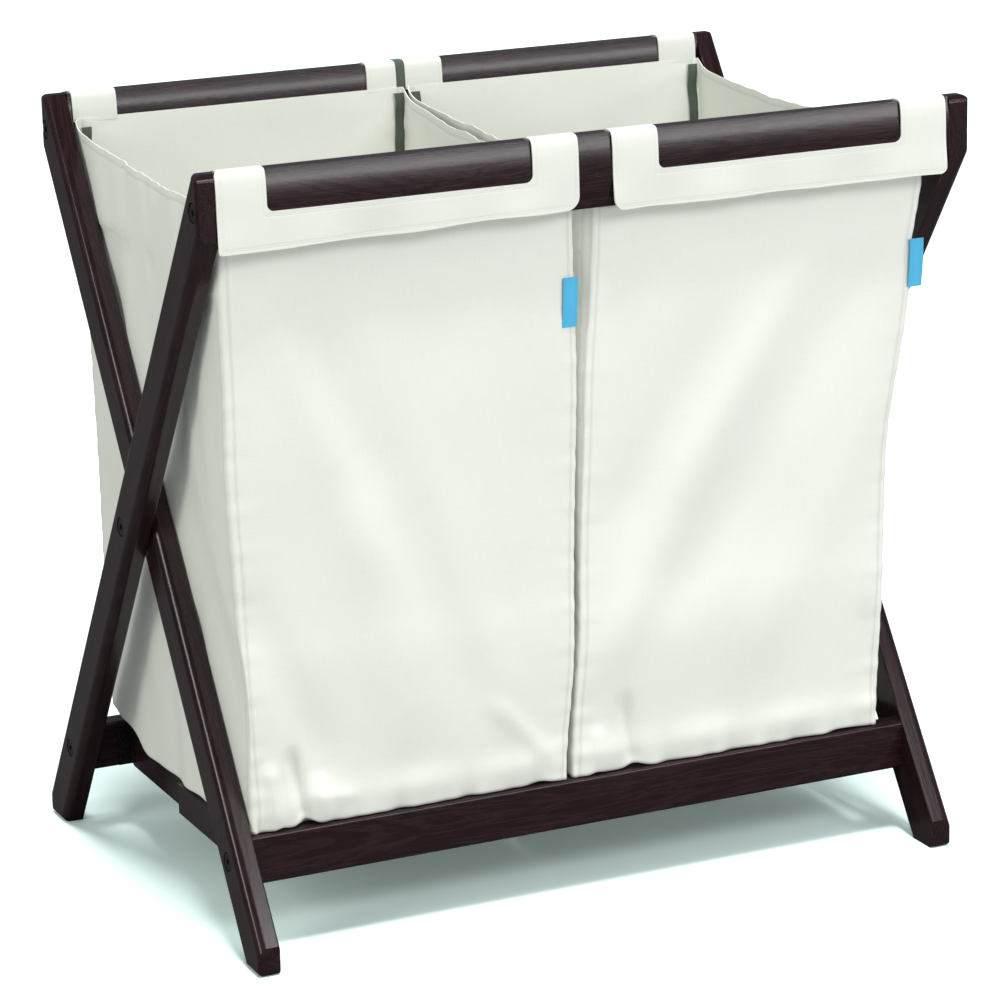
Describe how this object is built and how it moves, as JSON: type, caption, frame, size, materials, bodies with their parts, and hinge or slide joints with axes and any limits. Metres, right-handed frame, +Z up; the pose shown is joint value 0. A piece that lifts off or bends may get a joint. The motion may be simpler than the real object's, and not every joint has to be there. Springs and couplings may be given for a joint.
{
  "type": "double laundry hamper",
  "caption": "Folding X-frame laundry sorter in dark wood with two side-by-side cloth bags hung from its rails by cuffs with hand holes; plain feet, no wheels.",
  "frame": {"origin": "on the floor, under the middle of the stand", "axes": "+X along the rails to the right-hand end, -Y to the front, +Z up"},
  "size_m": [0.8, 0.534, 0.7668],
  "materials": {
    "wood": "satin espresso stain",
    "dark_steel": "dark satin plating",
    "canvas": "matte cotton canvas, natural white",
    "tape": "matte woven tape",
    "label": "satin woven label, plain"
  },
  "bodies": {
    "outer_frame": {"outer_leg_left": "wood", "outer_leg_right": "wood", "top_rail_front": "wood", "bottom_rail_back": "wood", "rail_bolts_outer": "dark_steel", "barrel_nuts_outer": "dark_steel", "pivot_bolts": "dark_steel", "pivot_washers": "dark_steel", "brackets_back": "dark_steel", "bracket_pins_back": "dark_steel", "bracket_screws_back": "dark_steel", "left_cuff_front": "canvas", "right_cuff_front": "canvas"},
    "inner_frame": {"inner_leg_left": "wood", "inner_leg_right": "wood", "top_rail_back": "wood", "bottom_rail_front": "wood", "rail_bolts_inner": "dark_steel", "barrel_nuts_inner": "dark_steel", "pivot_nuts": "dark_steel", "brackets_front": "dark_steel", "bracket_pins_front": "dark_steel", "bracket_screws_front": "dark_steel", "left_cuff_back": "canvas", "right_cuff_back": "canvas"},
    "brace_front_half_left": {"brace_front_left": "wood"},
    "brace_front_half_right": {"brace_front_right": "wood"},
    "brace_back_half_left": {"brace_back_left": "wood", "centre_pin_left": "dark_steel"},
    "brace_back_half_right": {"brace_back_right": "wood", "centre_pin_right": "dark_steel"},
    "left_bag_front": {"left_panel_front": "canvas", "left_side_outer": "canvas", "left_side_inner": "canvas", "left_bottom": "canvas", "left_label": "label", "left_tapes_front": "tape"},
    "right_bag_front": {"right_panel_front": "canvas", "right_side_outer": "canvas", "right_side_inner": "canvas", "right_bottom": "canvas", "right_label": "label", "right_tapes_front": "tape"},
    "left_bag_back": {"left_panel_back": "canvas", "left_tapes_back": "tape"},
    "right_bag_back": {"right_panel_back": "canvas", "right_tapes_back": "tape"}
  },
  "joints": [
    {"name": "frame_fold", "type": "hinge", "parent": "outer_frame", "child": "inner_frame", "pos_m": [0, 0, 0.378], "axis": [1, 0, 0], "range_deg": [0, 52], "deforming": ["left_side_outer", "left_side_inner", "left_bottom", "right_side_outer", "right_side_inner", "right_bottom"]},
    {"name": "brace_fold_front_left", "type": "hinge", "parent": "inner_frame", "child": "brace_front_half_left", "pos_m": [0, -0.16391, 0.087], "axis": [1, 0, 0], "range_deg": [0, 57.2]},
    {"name": "brace_fold_back_left", "type": "hinge", "parent": "outer_frame", "child": "brace_back_half_left", "pos_m": [0, 0.16391, 0.087], "axis": [1, 0, 0], "range_deg": [-57.2, 0]},
    {"name": "brace_fold_front_right", "type": "hinge", "parent": "inner_frame", "child": "brace_front_half_right", "pos_m": [0, -0.16391, 0.087], "axis": [1, 0, 0], "range_deg": [0, 57.2]},
    {"name": "brace_fold_back_right", "type": "hinge", "parent": "outer_frame", "child": "brace_back_half_right", "pos_m": [0, 0.16391, 0.087], "axis": [1, 0, 0], "range_deg": [-57.2, 0]},
    {"name": "left_front_panel_swing", "type": "hinge", "parent": "outer_frame", "child": "left_bag_front", "pos_m": [0, -0.22684, 0.7365], "axis": [1, 0, 0], "range_deg": [0, 26]},
    {"name": "left_back_panel_swing", "type": "hinge", "parent": "inner_frame", "child": "left_bag_back", "pos_m": [0, 0.22684, 0.7365], "axis": [1, 0, 0], "range_deg": [-26, 0]},
    {"name": "right_front_panel_swing", "type": "hinge", "parent": "outer_frame", "child": "right_bag_front", "pos_m": [0, -0.22684, 0.7365], "axis": [1, 0, 0], "range_deg": [0, 26]},
    {"name": "right_back_panel_swing", "type": "hinge", "parent": "inner_frame", "child": "right_bag_back", "pos_m": [0, 0.22684, 0.7365], "axis": [1, 0, 0], "range_deg": [-26, 0]}
  ],
  "couplings": [
    {"joint": "brace_fold_front_left", "follows": "frame_fold", "ratio": 1.0976},
    {"joint": "brace_fold_back_left", "follows": "frame_fold", "ratio": -1.0976},
    {"joint": "left_front_panel_swing", "follows": "frame_fold", "ratio": 0.5},
    {"joint": "left_back_panel_swing", "follows": "frame_fold", "ratio": -0.5},
    {"joint": "brace_fold_front_right", "follows": "frame_fold", "ratio": 1.0976},
    {"joint": "brace_fold_back_right", "follows": "frame_fold", "ratio": -1.0976},
    {"joint": "right_front_panel_swing", "follows": "frame_fold", "ratio": 0.5},
    {"joint": "right_back_panel_swing", "follows": "frame_fold", "ratio": -0.5}
  ]
}
